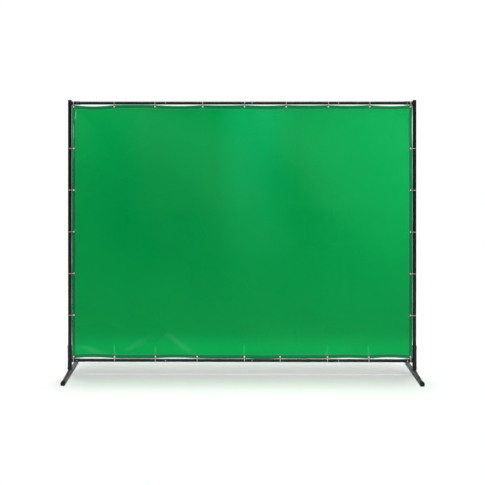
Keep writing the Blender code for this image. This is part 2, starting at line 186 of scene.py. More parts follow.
def turned_piece(name, stations, sides=TUBE_SIDES, closed=False, smooth=32):
    """A turned shape about Z, drawn out ring by ring through (radius, height) stations. A closed one comes
    back to its first station, as a tube does, and any other has a flat face at each end."""
    radius, height = stations[0]
    bpy.ops.mesh.primitive_circle_add(vertices=sides, radius=radius, location=(0, 0, height))
    piece = settle(bpy.context.object, (0, 0, height))
    piece.name = piece.data.name = name
    bpy.ops.object.mode_set(mode="EDIT")
    bpy.ops.mesh.select_all(action="SELECT")
    for next_radius, next_height in [*stations[1:], *([stations[0]] if closed else [])]:
        bpy.ops.mesh.extrude_edges_move(TRANSFORM_OT_translate={"value": (0, 0, next_height - height)})
        share = next_radius / radius
        if abs(share - 1) > 1e-9:
            bpy.ops.transform.resize(value=(share, share, 1), center_override=(0, 0, 0))
        radius, height = next_radius, next_height
    bpy.ops.mesh.select_all(action="SELECT")
    bpy.ops.mesh.remove_doubles(threshold=1e-6)
    if not closed:
        bpy.ops.mesh.fill_holes(sides=0)
        bpy.ops.mesh.select_all(action="SELECT")
    bpy.ops.mesh.normals_make_consistent(inside=False)
    bpy.ops.object.mode_set(mode="OBJECT")
    bpy.ops.object.shade_smooth_by_angle(angle=math.radians(smooth))
    return piece


def combine(piece, tool, operation="DIFFERENCE"):
    """Weld the tool on or cut it away, for good."""
    only(piece)
    step = piece.modifiers.new(operation.lower(), "BOOLEAN")
    step.operation = operation
    step.object = tool
    bpy.ops.object.modifier_apply(modifier=step.name)
    bpy.data.objects.remove(tool)
    bpy.ops.object.shade_smooth_by_angle(angle=math.radians(32))
    return piece


def weld_bead(name, tube_radius, socket_radius, side, x, z):
    """The rippled bead in the corner where a socket meets its tube, all round the saddle."""
    bpy.ops.curve.primitive_bezier_circle_add(radius=socket_radius)
    bead = bpy.context.object
    bead.name = name
    bead.data.splines.clear()
    line = bead.data.splines.new("POLY")
    count = WELD_RIPPLES * RIPPLE_STEPS
    line.points.add(count - 1)
    for step, point in enumerate(line.points):
        angle = 2 * math.pi * step / count
        across, up = socket_radius * math.cos(angle), socket_radius * math.sin(angle)
        out = math.sqrt(max(tube_radius**2 - across**2, 0))
        point.co = (x - side * out, across, z + up, 1)
        point.radius = 1 + RIPPLE_SWELL * math.cos(2 * math.pi * step / RIPPLE_STEPS)
    line.use_cyclic_u = True
    bead.data.dimensions = "3D"
    bead.data.bevel_depth = WELD_RADIUS
    bead.data.bevel_resolution = 3
    only(bead)
    bpy.ops.object.convert(target="MESH")
    bpy.ops.object.shade_smooth()
    return bpy.context.object


def finish_piece(piece, body, nodes, material):
    """Give a finished piece its material, the body that it rides on and the CAD nodes that it stands for."""
    piece.data.materials.clear()
    piece.data.materials.append(material)
    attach(piece, body)
    if nodes:
        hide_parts(*nodes)
    return piece


def drill_for_button(tube, button, tube_radius, z):
    """Drill a tube's front wall for a snap button's pin."""
    half = tube_radius / 2
    drill = turned_piece("drill", [(BUTTON_HOLE, -half), (BUTTON_HOLE, half)], 24)
    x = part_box(button)[0].x + BUTTON_RADIUS + LEAF_LEAD
    combine(tube, settle(drill, (x, -tube_radius, z), (math.pi / 2, 0, 0)))


post_places = {}
for side_name, side in SIDES:
    for kind, wall, rail in (("post", POST_WALL, "top"), ("base_upright", UPRIGHT_WALL, "bottom")):
        node = f"{kind}_{side_name}"
        low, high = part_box(node)
        radius = high.y
        outside = low.x if side < 0 else high.x
        x = outside - side * radius
        reach = abs((high.x if side < 0 else low.x) - x)
        rail_low, rail_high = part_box(f"{rail}_rail_2")
        rail_z = (rail_low.z + rail_high.z) / 2
        inward = (0, -side * math.pi / 2, 0)
        post_places[node] = (x, radius, rail_z)

        tube = settle(turned_piece(f"{node}_tube", [(radius, low.z), (radius, high.z)]), (x, 0, 0))
        socket = turned_piece(
            "socket",
            [(SOCKET_RADIUS, 0), (SOCKET_RADIUS, reach - EDGE_BREAK), (SOCKET_RADIUS - EDGE_BREAK, reach)],
        )
        combine(tube, settle(socket, (x, 0, rail_z), inward), "UNION")
        inner = radius - wall
        bore = turned_piece("bore", [(inner, low.z - THROUGH), (inner, high.z + THROUGH)])
        combine(tube, settle(bore, (x, 0, 0)))
        socket_inner = SOCKET_RADIUS - SOCKET_WALL
        socket_bore = turned_piece(
            "socket_bore", [(socket_inner, radius + SOCKET_SEAT), (socket_inner, reach + THROUGH)]
        )
        combine(tube, settle(socket_bore, (x, 0, rail_z), inward))
        button = f"snap_button_{rail}_{1 if side < 0 else 5}"
        drill_for_button(tube, button, SOCKET_RADIUS, rail_z)
        finish_piece(tube, "frame", [node], black_coat)
        bead = weld_bead(f"{node}_weld", radius, SOCKET_RADIUS, side, x, rail_z)
        finish_piece(bead, "frame", [], black_coat)

# --- Rails ----------------------------------------------------------------------------------------
# Each rail is four lengths of 22 mm steel tube, coated like the posts. The right end of all but the last is
# swaged down to plug into the next, and a button holds each joint.

RAIL_WALL = 0.0012
SWAGE_LENGTH = 0.050
SWAGE_TAPER = 0.003
SWAGE_GAP = 0.0003


def tube_stations(outer, inner, bottom, top):
    """The stations of a plain cut tube with its outer edges broken."""
    return [
        (inner, bottom),
        (outer - EDGE_BREAK, bottom),
        (outer, bottom + EDGE_BREAK),
        (outer, top - EDGE_BREAK),
        (outer - EDGE_BREAK, top),
        (inner, top),
    ]


for rail in ("top", "bottom"):
    for number in range(1, 5):
        node = f"{rail}_rail_{number}"
        low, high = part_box(node)
        radius = high.y
        inner = radius - RAIL_WALL
        length = high.x - low.x
        if number < 4:
            neck = inner - SWAGE_GAP
            plain = length - SWAGE_LENGTH
            stations = [
                (inner, 0),
                (radius - EDGE_BREAK, 0),
                (radius, EDGE_BREAK),
                (radius, plain - SWAGE_TAPER),
                (radius - 0.0004, plain - SWAGE_TAPER * 0.8),
                (neck + 0.0003, plain - SWAGE_TAPER * 0.15),
                (neck, plain),
                (neck, length),
                (neck - RAIL_WALL, length),
                (neck - RAIL_WALL, plain),
                (inner, plain - SWAGE_TAPER),
            ]
        else:
            stations = tube_stations(radius, inner, 0, length)
        tube = turned_piece(f"{node}_tube", stations, closed=True)
        settle(tube, (low.x, 0, (low.z + high.z) / 2), (0, math.pi / 2, 0))
        for button in (number, number + 1):
            drill_for_button(tube, f"snap_button_{rail}_{button}", radius, (low.z + high.z) / 2)
        finish_piece(tube, "frame", [node], black_coat)

# --- Snap buttons and screws ----------------------------------------------------------------------
# Zinc-plated steel. Each button is a domed pin riveted to a spring leaf inside the tube. The screws are
# button-heads with a hexagon socket, which clamp the post and the foot's spigot in the base upright.

LEAF_THICKNESS = 0.0008
SCREW_GAP = 0.0003
HEX_WIDTH = 0.0036
HEX_DEPTH = 0.0017


def zinc_plate():
    """Bright zinc plate: a bluish white metal, a little clouded where the bath has dulled it."""
    made, tree, shader = new_material("bright_zinc_plate", Metallic=1.0)
    place = add_node(tree, "ShaderNodeTexCoord").outputs["Object"]
    cloud = noise(tree, place, 0.00385, 4.0)
    finish_shader(
        tree,
        shader,
        Base_Color=graded(tree, cloud, ((0.3, "#B9BDBE"), (0.7, "#DADCDA"))),
        Roughness=mapped(tree, cloud, 0.3, 0.7, 0.22, 0.38),
    )
    return made


zinc = zinc_plate()

for rail in ("top", "bottom"):
    for number in range(1, 6):
        node = f"snap_button_{rail}_{number}"
        low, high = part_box(node)
        x, z = low.x + BUTTON_RADIUS + LEAF_LEAD, (low.z + high.z) / 2
        tip, leaf_y = -low.y, high.y
        pin = turned_piece(
            f"{node}_pin",
            [
                (BUTTON_RADIUS * 0.6, -leaf_y),
                (BUTTON_RADIUS, -leaf_y + LEAF_THICKNESS / 2),
                (BUTTON_RADIUS, tip - 0.0018),
                (BUTTON_RADIUS * 0.94, tip - 0.0010),
                (BUTTON_RADIUS * 0.78, tip - 0.0004),
                (BUTTON_RADIUS * 0.50, tip - 0.0001),
                (BUTTON_RADIUS * 0.15, tip),
            ],
            32,
        )
        settle(pin, (x, 0, z), (math.pi / 2, 0, 0))
        leaf_place = ((low.x + high.x) / 2, leaf_y - LEAF_THICKNESS / 2, z)
        bpy.ops.mesh.primitive_cube_add(size=1, location=leaf_place)
        leaf = bpy.context.object
        leaf.scale = (high.x - low.x, LEAF_THICKNESS, high.z - low.z)
        settle(leaf, leaf.location)
        edge = leaf.modifiers.new("rounded", "BEVEL")
        edge.width, edge.segments = LEAF_THICKNESS * 0.3, 2
        bpy.ops.object.modifier_apply(modifier=edge.name)
        finish_piece(combine(pin, leaf, "UNION"), node, [node], zinc)

for side_name, side in SIDES:
    for kind in ("post_screw", "foot_screw"):
        node = f"{kind}_{side_name}"
        low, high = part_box(node)
        head = (high.z - low.z) / 2
        x, radius, _ = post_places[f"base_upright_{side_name}"]
        seat = radius + SCREW_GAP
        tip = abs((high.x if side < 0 else low.x) - x) - seat
        top = abs((low.x if side < 0 else high.x) - x) - seat
        shank = head * 0.547
        screw = turned_piece(
            f"{node}_body",
            [
                (shank * 0.85, tip),
                (shank, tip + 0.0005),
                (shank, 0),
                (head, 0),
                (head, top * 0.22),
                (head * 0.93, top * 0.50),
                (head * 0.76, top * 0.78),
                (head * 0.55, top * 0.94),
                (head * 0.42, top),
            ],
            40,
        )
        corner = HEX_WIDTH / math.sqrt(3)
        combine(screw, turned_piece("key", [(corner, top - HEX_DEPTH), (corner, top + THROUGH)], 6))
        settle(screw, (x + side * seat, 0, (low.z + high.z) / 2), (0, side * math.pi / 2, 0))
        finish_piece(screw, node, [node], zinc)

# --- Feet -----------------------------------------------------------------------------------------
# Each foot is one bowed length of the post's tube, with the spigot that turns in the base upright welded to
# its middle. Black vinyl cups grip its ends, and each has a moulded flat where it stands.

FOOT_TUBE_RADIUS = 0.0127
FOOT_STRAIGHT_END = 0.060
FOOT_STEPS = 48
CAP_RIBS = 3
FIRST_RIB = 0.006
RIB_PITCH = 0.005
RIB_HEIGHT = 0.0005
RIB_WIDTH = 0.0024
CAP_END = 0.002
CAP_ROUNDING = 0.004
SCUFF_HEIGHT = 0.008
FIT = 0.0003


def arithmetic(tree, operation, first, second=0.0):
    """One step of arithmetic on two values, each a socket or a number."""
    return add_node(tree, "ShaderNodeMath", {0: first, 1: second}, operation=operation).outputs["Value"]


def black_vinyl():
    """Dip-moulded black PVC: matt, with a soft skin and grey scuffs low down where it meets the floor."""
    made, tree, shader = new_material("black_dipped_pvc", Specular_IOR_Level=0.3, Roughness=0.58)
    place = add_node(tree, "ShaderNodeTexCoord").outputs["Object"]
    skin = noise(tree, place, 0.00286, 4.0)
    height = add_node(tree, "ShaderNodeSeparateXYZ", {"Vector": place}).outputs["Z"]
    scuffs = arithmetic(tree, "MULTIPLY", mapped(tree, height, 0.0, SCUFF_HEIGHT, 0.75, 0.0), skin)
    finish_shader(
        tree,
        shader,
        Base_Color=mixed(tree, scuffs, linear("#0B0B0C"), linear("#3A3A39")),
        Normal=dented(tree, skin, 0.2, 0.0003),
    )
    return made


dipped_vinyl = black_vinyl()

for side_name, side in SIDES:
    body = f"foot_{side_name}"
    low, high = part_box(body)
    x = post_places[f"base_upright_{side_name}"][0]
    spigot_top = high.z
    hub_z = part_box(f"base_upright_{side_name}")[0].z - FIT - FOOT_TUBE_RADIUS
    end_z = low.z + FOOT_TUBE_RADIUS
    half = high.y

    bpy.ops.curve.primitive_bezier_curve_add()
    bar = bpy.context.object
    bar.name = f"{body}_tube"
    bar.data.splines.clear()
    line = bar.data.splines.new("POLY")
    line.points.add(FOOT_STEPS)
    bend = half - FOOT_STRAIGHT_END
    for step, point in enumerate(line.points):
        y = half * (2 * step / FOOT_STEPS - 1)
        share = min(abs(y) / bend, 1)
        point.co = (x, y, hub_z - (hub_z - end_z) * (1 - math.cos(math.pi * share)) / 2, 1)
    bar.data.dimensions = "3D"
    bar.data.bevel_depth = FOOT_TUBE_RADIUS
    bar.data.bevel_resolution = 12
    bar.data.use_fill_caps = True
    bar.location = (0, 0, 0)
    only(bar)
    bpy.ops.object.convert(target="MESH")
    bar = settle(bpy.context.object)
    spigot = turned_piece("spigot", [(FOOT_TUBE_RADIUS, hub_z), (FOOT_TUBE_RADIUS, spigot_top)])
    combine(bar, settle(spigot, (x, 0, 0)), "UNION")
    finish_piece(bar, body, [body], black_coat)

    for end_name, end in (("front", -1), ("rear", 1)):
        node = f"foot_cap_{side_name}_{end_name}"
        low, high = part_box(node)
        radius = (high.x - low.x) / 2
        length = high.y - low.y
        bore = FOOT_TUBE_RADIUS + FIT
        stations = [
            (bore, length - CAP_END),
            (bore, 0.0003),
            (bore + 0.0008, 0),
            (radius - 0.0005, 0),
            (radius, 0.0008),
        ]
        for rib in range(CAP_RIBS):
            start = FIRST_RIB + rib * RIB_PITCH
            stations += [
                (radius, start),
                (radius - RIB_HEIGHT, start + RIB_WIDTH * 0.25),
                (radius - RIB_HEIGHT, start + RIB_WIDTH * 0.75),
                (radius, start + RIB_WIDTH),
            ]
        for step in range(6):
            angle = math.pi / 2 * step / 6
            inset, short = CAP_ROUNDING * (1 - math.cos(angle)), CAP_ROUNDING * (1 - math.sin(angle))
            stations.append((radius - inset, length - short))
        stations.append((radius - CAP_ROUNDING, length))
        cap = turned_piece(f"{node}_cup", stations, 48)
        middle = high.z - radius
        settle(cap, ((low.x + high.x) / 2, low.y if end > 0 else high.y, middle), (-end * math.pi / 2, 0, 0))
        bpy.ops.object.mode_set(mode="EDIT")
        bpy.ops.mesh.select_all(action="SELECT")
        # The floor side is moulded flat.
        bpy.ops.mesh.bisect(
            plane_co=(0, 0, 0), plane_no=(0, 0, 1), clear_inner=True, use_fill=True, threshold=1e-7
        )
        bpy.ops.object.mode_set(mode="OBJECT")
        finish_piece(cap, body, [node], dipped_vinyl)

# --- Post caps ------------------------------------------------------------------------------------
# A plug of the same black vinyl as the foot cups, pressed into the top of each post. Its low domed head
# covers the tube's cut end.

POST_CAP_HEAD = 0.0025

for side_name, side in SIDES:
    x = post_places[f"post_{side_name}"][0]
    node = f"post_cap_{side_name}"
    low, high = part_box(node)
    radius = high.y
    seat = high.z - POST_CAP_HEAD
    plug = radius - POST_WALL - FIT
    cap = turned_piece(
        f"{node}_plug",
        [
            (plug - 0.001, low.z),
            (plug, low.z + 0.001),
            (plug, seat),
            (radius - 0.0002, seat),
            (radius, seat + 0.0003),
            (radius, seat + 0.0012),
            (radius - 0.0005, seat + 0.0019),
            (radius - 0.0016, seat + 0.0023),
            (radius - 0.0040, high.z),
        ],
        48,
    )
    finish_piece(settle(cap, (x, 0, 0)), "frame", [node], dipped_vinyl)

# --- Curtain --------------------------------------------------------------------------------------
# Green PVC film, 0.4 mm thick, 2.38 m by 1.78 m when finished, with a 30 mm hem folded to the rear and
# heat sealed along its inner edge. It is tied at its eyelets, so each edge draws in between two ties.

FILM = 0.0004
HEM = 0.030
EYELET_INSET = 0.012
EYELET_BORE = 0.0050
EYELET_RADIUS = 0.0095
CELL = 0.022
# How far each stretch of edge draws in from the line through its ties, from left to right or from the top
# down. A stretch with a minus sign bellies out instead, nearly to its rail.
TOP_DIPS = (0.010, -0.0012, 0.007, 0.003, 0.005, 0.003, 0.005, 0.008)
BOTTOM_DIPS = (0.008, -0.0012, 0.006, -0.0018, -0.0018, -0.0012, 0.006, 0.008)
LEFT_DIPS = (0.0005, 0.0003, 0.0004, 0.0006, 0.0004, 0.0003)
RIGHT_DIPS = (0.0035, 0.0006, 0.0004, 0.0003, 0.0005, 0.0003)
EDGE_REACH = 0.11
SIDE_EASE = 0.0021
# Heights of the broad waves in the film, as (height, waves over the width, waves over the height, phase).
WAVES = ((0.006, 1.5, 0.5, 0.4), (0.004, 2.5, 1.0, 2.1), (0.003, 4.0, 0.5, 4.4), (0.002, 3.0, 2.0, 1.3))
# How far the film stands to the rear at each height, as (height, distance).
LEAN = (
    (0.125, -0.002),
    (0.17, 0.002),
    (0.24, 0.008),
    (0.34, 0.009),
    (0.55, 0.004),
    (0.85, -0.005),
    (1.15, -0.009),
    (1.45, -0.006),
    (1.70, 0.001),
    (1.87, 0.004),
)
# Short creases, each a low ridge with a painted highlight along it, as (place along the screen, bottom, top,
# half width, strength, metres that it moves along for each one up).
CREASES = (
    (-1.166, 1.775, 1.855, 0.0045, 0.75, 0.10),
    (-1.179, 1.640, 1.760, 0.0040, 0.65, 0.0),
    (-1.182, 1.500, 1.660, 0.0040, 0.25, 0.0),
    (-0.894, 0.120, 0.215, 0.0080, 0.13, -0.10),
    (-0.606, 0.120, 0.205, 0.0080, 0.12, 0.08),
    (0.017, 0.120, 0.220, 0.0090, 0.12, 0.0),
    (0.597, 0.120, 0.210, 0.0090, 0.11, 0.10),
    (0.886, 0.120, 0.215, 0.0090, 0.12, -0.08),
    (-0.440, 0.130, 0.300, 0.0450, 0.08, -1.15),
    (-1.060, 0.130, 0.205, 0.0900, 0.07, -2.20),
    (-0.745, 0.150, 0.260, 0.0500, 0.05, 1.30),
)
# Fold lines from storage, as (share of the width, depth).
FOLDS = ((0.815, 1.0), (0.383, 0.6), (0.482, 0.5))
SEAL_INSET = 0.003
# Painted light: bands of lighter and darker green that stand in for how the studio light falls across the
# film, from left to right, strongest towards the top.
PAINTED_LIGHT_BANDS = (
    (0.0, "#00A04C"),
    (0.06, "#009E4C"),
    (0.24, "#009849"),
    (0.42, "#009C4C"),
    (0.49, "#00AB5B"),
    (0.57, "#00AC5D"),
    (0.66, "#009F4C"),
    (0.80, "#00A450"),
    (1.0, "#00A252"),
)

low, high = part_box("curtain")
LEFT, RIGHT, BOTTOM, TOP = low.x, high.x, low.z, high.z
WIDTH, HEIGHT = RIGHT - LEFT, TOP - BOTTOM


def tie_centre(node):
    low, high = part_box(node)
    return (low + high) / 2


eyelets_x = {
    edge: [
        LEFT + EYELET_INSET,
        *[tie_centre(f"tie_{edge}_{number}").x for number in range(1, 8)],
        RIGHT - EYELET_INSET,
    ]
    for edge in ("top", "bottom")
}
eyelets_z = [
    TOP - EYELET_INSET,
    *[tie_centre(f"tie_left_{number}").z for number in range(1, 6)],
    BOTTOM + EYELET_INSET,
]
eyelets = [(x, TOP - EYELET_INSET) for x in eyelets_x["top"]]
eyelets += [(x, BOTTOM + EYELET_INSET) for x in eyelets_x["bottom"]]
eyelets += [(x, z) for x in (LEFT + EYELET_INSET, RIGHT - EYELET_INSET) for z in eyelets_z[1:-1]]


def draw_in(places, dips, at):
    """How far an edge draws in at each position: nothing at an eyelet and most halfway between two."""
    total = np.zeros_like(at)
    for start, end, dip in zip(places, places[1:], dips):
        share = np.clip((at - start) / (end - start), 0, 1)
        total += dip * np.sin(math.pi * share) ** 0.9
    return total


def hung(x, z):
    """Where points of the flat film hang: drawn in at the edges, puckered at the eyelets, softly waved."""
    flat_x, flat_z = x.copy(), z.copy()
    from_top, from_bottom = TOP - flat_z, flat_z - BOTTOM
    from_left, from_right = flat_x - LEFT, RIGHT - flat_x
    top = draw_in(eyelets_x["top"], TOP_DIPS, flat_x) * np.exp(-from_top / EDGE_REACH)
    bottom = draw_in(eyelets_x["bottom"], BOTTOM_DIPS, flat_x) * np.exp(-from_bottom / EDGE_REACH)
    down = -(flat_z - eyelets_z[0])
    drops = [-(place - eyelets_z[0]) for place in eyelets_z]
    left = draw_in(drops, LEFT_DIPS, down) * np.exp(-from_left / EDGE_REACH)
    right = draw_in(drops, RIGHT_DIPS, down) * np.exp(-from_right / EDGE_REACH)
    # Above the wider base uprights the side hems ease out to the posts.
    above = np.clip((flat_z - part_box("base_upright_left")[1].z) / 0.04, 0, 1)
    left -= SIDE_EASE * above * np.exp(-from_left / 0.03)
    right -= SIDE_EASE * above * np.exp(-from_right / 0.03)
    x, z = flat_x + left - right, flat_z - top + bottom

    inside = np.minimum(np.minimum(from_top, from_bottom), np.minimum(from_left, from_right))
    held = 1 - np.exp(-np.clip(inside - EYELET_INSET, 0, None) / 0.16)
    across, up = (flat_x - LEFT) / WIDTH, (flat_z - BOTTOM) / HEIGHT
    # The film leans a little back and forth on its way up: out at the foot, in above it, and out again.
    y = np.interp(flat_z, *zip(*LEAN)) * held
    for tall, wide, high_waves, phase in WAVES:
        y += tall * np.sin(2 * math.pi * (wide * across + high_waves * up) + phase) * held
    # The slack of each drawn-in stretch bulges to one side, and the sides take turns.
    for number, (start, end) in enumerate(zip(eyelets_x["top"], eyelets_x["top"][1:])):
        share = np.clip((flat_x - start) / (end - start), 0, 1)
        turn = -1 if number % 2 else 1
        y += turn * 0.0035 * np.sin(math.pi * share) ** 2 * np.exp(-from_top / 0.14)
        y -= turn * 0.0030 * np.sin(math.pi * share) ** 2 * np.exp(-from_bottom / 0.12)
    # Short creases run out from each eyelet, where its tie gathers the film.
    for number, (eyelet_x, eyelet_z) in enumerate(eyelets):
        away = np.hypot(flat_x - eyelet_x, flat_z - eyelet_z)
        angle = np.arctan2(flat_z - eyelet_z, flat_x - eyelet_x)
        y += 0.0011 * np.cos(9 * angle + 1.7 * number) * (away / 0.04) * np.exp(-away / 0.04)
    return x, y, z


def grid_lines(start, end):
    """Grid lines across the film, with one on the middle and one on the inner edge of each hem."""
    inner = np.linspace(start + HEM, end - HEM, round((end - start - 2 * HEM) / CELL) + 1)
    return np.array([start, start + HEM / 2, *inner, end - HEM / 2, end])


def film_mesh(name):
    """The flat film as a grid whose UV map holds each point's place on the flat cut, in metres."""
    xs, zs = grid_lines(LEFT, RIGHT), grid_lines(BOTTOM, TOP)
    bm = bmesh.new()
    uv = bm.loops.layers.uv.new("cut")
    rows = [[bm.verts.new((x, 0, z)) for x in xs] for z in zs]
    for row, above in zip(rows, rows[1:]):
        for at in range(len(xs) - 1):
            face = bm.faces.new((row[at], row[at + 1], above[at + 1], above[at]))
            for loop in face.loops:
                loop[uv].uv = (loop.vert.co.x - LEFT, loop.vert.co.z - BOTTOM)
    mesh = bpy.data.meshes.new(name)
    bm.to_mesh(mesh)
    bm.free()
    film = bpy.data.objects.new(name, mesh)
    bpy.context.scene.collection.objects.link(film)
    return film


curtain = film_mesh("curtain_film")
points = np.array([v.co for v in curtain.data.vertices])
hung_x, hung_y, hung_z = hung(points[:, 0], points[:, 2])
hung_points = np.stack([hung_x, hung_y, hung_z], axis=1)
curtain.data.vertices.foreach_set("co", hung_points.astype(np.float32).ravel())
curtain.data.update()

only(curtain)
finer = curtain.modifiers.new("finer", "SUBSURF")
finer.levels = finer.render_levels = 1
finer.boundary_smooth = "PRESERVE_CORNERS"
finer.uv_smooth = "PRESERVE_BOUNDARIES"
bpy.ops.object.modifier_apply(modifier=finer.name)

# The hem is the film's own edge turned to the rear, so it follows the film a little behind its back face.
hem = curtain.copy()
hem.data = curtain.data.copy()
hem.name = "curtain_hem"
bpy.context.scene.collection.objects.link(hem)
bm = bmesh.new()
bm.from_mesh(hem.data)
uv = bm.loops.layers.uv.verify()
inner_faces = []
for face in bm.faces:
    u = sum(loop[uv].uv.x for loop in face.loops) / len(face.loops)
    v = sum(loop[uv].uv.y for loop in face.loops) / len(face.loops)
    if min(u, WIDTH - u, v, HEIGHT - v) > HEM:
        inner_faces.append(face)
bmesh.ops.delete(bm, geom=inner_faces, context="FACES")
for vert in bm.verts:
    vert.co += Vector((0, FILM * 1.4, 0))
bm.to_mesh(hem.data)
bm.free()
for film in (curtain, hem):
    only(film)
    thick = film.modifiers.new("thickness", "SOLIDIFY")
    thick.thickness = FILM
    thick.offset = 0
    bpy.ops.object.modifier_apply(modifier=thick.name)
    bpy.ops.object.shade_smooth_by_angle(angle=math.radians(50))


def painted_crease_highlights(tree, across, up):
    """How strongly each short crease's painted highlight lightens the film, brightest on its middle line."""
    total = 0.0
    for place, bottom_end, top_end, half_width, depth, slope in CREASES:
        from_middle = arithmetic(tree, "SUBTRACT", up, (bottom_end + top_end) / 2 - BOTTOM)
        leaning = arithmetic(tree, "MULTIPLY", from_middle, slope)
        beside = arithmetic(tree, "SUBTRACT", arithmetic(tree, "SUBTRACT", across, place - LEFT), leaning)
        line = mapped(tree, arithmetic(tree, "ABSOLUTE", beside), 0.0, half_width, depth, 0.0)
        half = (top_end - bottom_end) / 2
        fade = mapped(tree, arithmetic(tree, "ABSOLUTE", from_middle), half * 0.5, half, 1.0, 0.0)
        total = arithmetic(tree, "ADD", total, arithmetic(tree, "MULTIPLY", line, fade))
    return total


def fold_lines(tree, across):
    """Full-height ridges left by the folded pack, each 12 mm wide."""
    total = 0.0
    for share, depth in FOLDS:
        away = arithmetic(tree, "ABSOLUTE", arithmetic(tree, "SUBTRACT", across, share * WIDTH))
        total = arithmetic(tree, "ADD", total, mapped(tree, away, 0.0, 0.006, depth, 0.0))
    return total


def green_film():
    """Green PVC film: glossy, with broad calender clouds, bands of painted light that grow towards the top,
    painted highlights along its short creases, faint fold lines from storage, a darker doubled hem and a
    pale heat seal along the hem's inner edge."""
    made, tree, shader = new_material("green_pvc_film", Specular_IOR_Level=0.06, IOR=1.53)
    cut = add_node(tree, "ShaderNodeUVMap", uv_map="cut").outputs["UV"]
    part = add_node(tree, "ShaderNodeSeparateXYZ", {"Vector": cut})
    across, up = part.outputs["X"], part.outputs["Y"]
    from_side = arithmetic(tree, "MINIMUM", across, arithmetic(tree, "SUBTRACT", WIDTH, across))
    from_end = arithmetic(tree, "MINIMUM", up, arithmetic(tree, "SUBTRACT", HEIGHT, up))
    edge = arithmetic(tree, "MINIMUM", from_side, from_end)

    clouds = noise(tree, cut, 0.625, 3.0, 0.4)
    plain = graded(tree, clouds, ((0.35, "#009D4A"), (0.65, "#00A14C")))
    # Painted light: the bands lighten or darken the film across its width, more towards its top.
    painted_light_bands = graded(tree, arithmetic(tree, "DIVIDE", across, WIDTH), PAINTED_LIGHT_BANDS)
    body = mixed(tree, mapped(tree, up, 0.55, 1.5, 0.0, 0.9), plain, painted_light_bands)
    in_hem = mapped(tree, edge, HEM - 0.001, HEM + 0.001, 1.0, 0.0)
    from_seal = arithmetic(tree, "ABSOLUTE", arithmetic(tree, "SUBTRACT", edge, HEM - SEAL_INSET))
    seal = mapped(tree, from_seal, 0.0008, 0.0022, 0.55, 0.0)
    # Short creases rise from the lowest eyelets, slant across the foot of the film and run down by the top
    # left corner. Each is drawn as a painted highlight, pale green along its line, over a low ridge in the
    # bump.
    crease_highlight = painted_crease_highlights(tree, across, up)
    colour = mixed(tree, in_hem, body, linear("#057C41"))
    colour = mixed(tree, seal, colour, linear("#4FC98A"))
    # Painted highlight: the creases' pale green.
    colour = mixed(tree, crease_highlight, colour, linear("#7FE3AC"))

    # The film's fine grain is under 1 mm across, and is drawn at 4 mm so that it shows.
    grain = arithmetic(tree, "MULTIPLY", noise(tree, cut, 0.004, 2.0), 0.03)
    ripple = arithmetic(tree, "MULTIPLY", noise(tree, cut, 1 / 9, 2.0), 1.2)
    ridges = arithmetic(tree, "ADD", arithmetic(tree, "MULTIPLY", crease_highlight, 1.5), fold_lines(tree, across))
    height = arithmetic(tree, "MULTIPLY", ridges, 0.5)
    for more in (grain, ripple, arithmetic(tree, "MULTIPLY", seal, 0.6)):
        height = arithmetic(tree, "ADD", height, more)
    finish_shader(
        tree,
        shader,
        Base_Color=colour,
        Roughness=mapped(tree, clouds, 0.3, 0.7, 0.24, 0.34),
        Normal=dented(tree, height, 0.5, 0.001),
    )
    return made


film_green = green_film()

# --- Eyelets --------------------------------------------------------------------------------------
# Nickel-plated brass, 10 mm bore and 19 mm across. A rolled barrel in front and a washer behind are crimped
# together through both layers of the hem, with a hole punched a little wide of the barrel.

CROWN_STEPS = 8
FRONT_CROWN = 0.0009
WASHER_STEPS = 6
WASHER_CROWN = 0.0005
PUNCH_MARGIN = 0.0012


def nickel_plate():
    """Nickel plate over brass: warm and nearly mirror-smooth, its colour darkened all over as painted shade
    and clouded at random.
    """
    made, tree, shader = new_material("nickel_plated_brass", Metallic=1.0, Roughness=0.24)
    place = add_node(tree, "ShaderNodeTexCoord").outputs["Object"]
    shaded_tone = noise(tree, place, 0.00556, 3.0)
    # Painted shade: both tones are far darker than bright nickel.
    finish_shader(tree, shader, Base_Color=graded(tree, shaded_tone, ((0.3, "#55534E"), (0.7, "#72706A"))))
    return made


nickel = nickel_plate()

middle, spread = (EYELET_BORE + EYELET_RADIUS) / 2, (EYELET_RADIUS - EYELET_BORE) / 2
eyelet_shape = []
for step in range(CROWN_STEPS + 1):
    angle = math.pi * step / CROWN_STEPS
    eyelet_shape.append((middle - spread * math.cos(angle), FILM + FRONT_CROWN * math.sin(angle)))
for step in range(WASHER_STEPS + 1):
    angle = math.pi * step / WASHER_STEPS
    # The washer is a hair narrower than the barrel's crown.
    across = middle + spread * 0.98 * math.cos(angle)
    eyelet_shape.append((across, -FILM * 1.6 - WASHER_CROWN * math.sin(angle)))

holes = []
for number, (eyelet_x, eyelet_z) in enumerate(eyelets):
    ring = turned_piece(f"eyelet_{number + 1}", eyelet_shape, 36, closed=True, smooth=60)
    settle(ring, (eyelet_x, 0, eyelet_z), (math.pi / 2, 0, 0))
    finish_piece(ring, "frame", [], nickel)
    hole_radius = EYELET_BORE + PUNCH_MARGIN
    punch = turned_piece("punch", [(hole_radius, -THROUGH), (hole_radius, THROUGH)], 24)
    holes.append(settle(punch, (eyelet_x, 0, eyelet_z), (math.pi / 2, 0, 0)))

only(holes[0])
for punch in holes[1:]:
    punch.select_set(True)
bpy.ops.object.join()
punches = bpy.context.object
second = punches.copy()
second.data = punches.data.copy()
bpy.context.scene.collection.objects.link(second)
combine(curtain, punches)
combine(hem, second)
finish_piece(curtain, "frame", ["curtain"], film_green)
finish_piece(hem, "frame", [], film_green)

# --- Ties -----------------------------------------------------------------------------------------
# Natural nylon cable ties, 3.6 mm wide, one through each eyelet and round the tube beside it. The toothed
# band locks in a square head at the rear, and its end is cut off short.

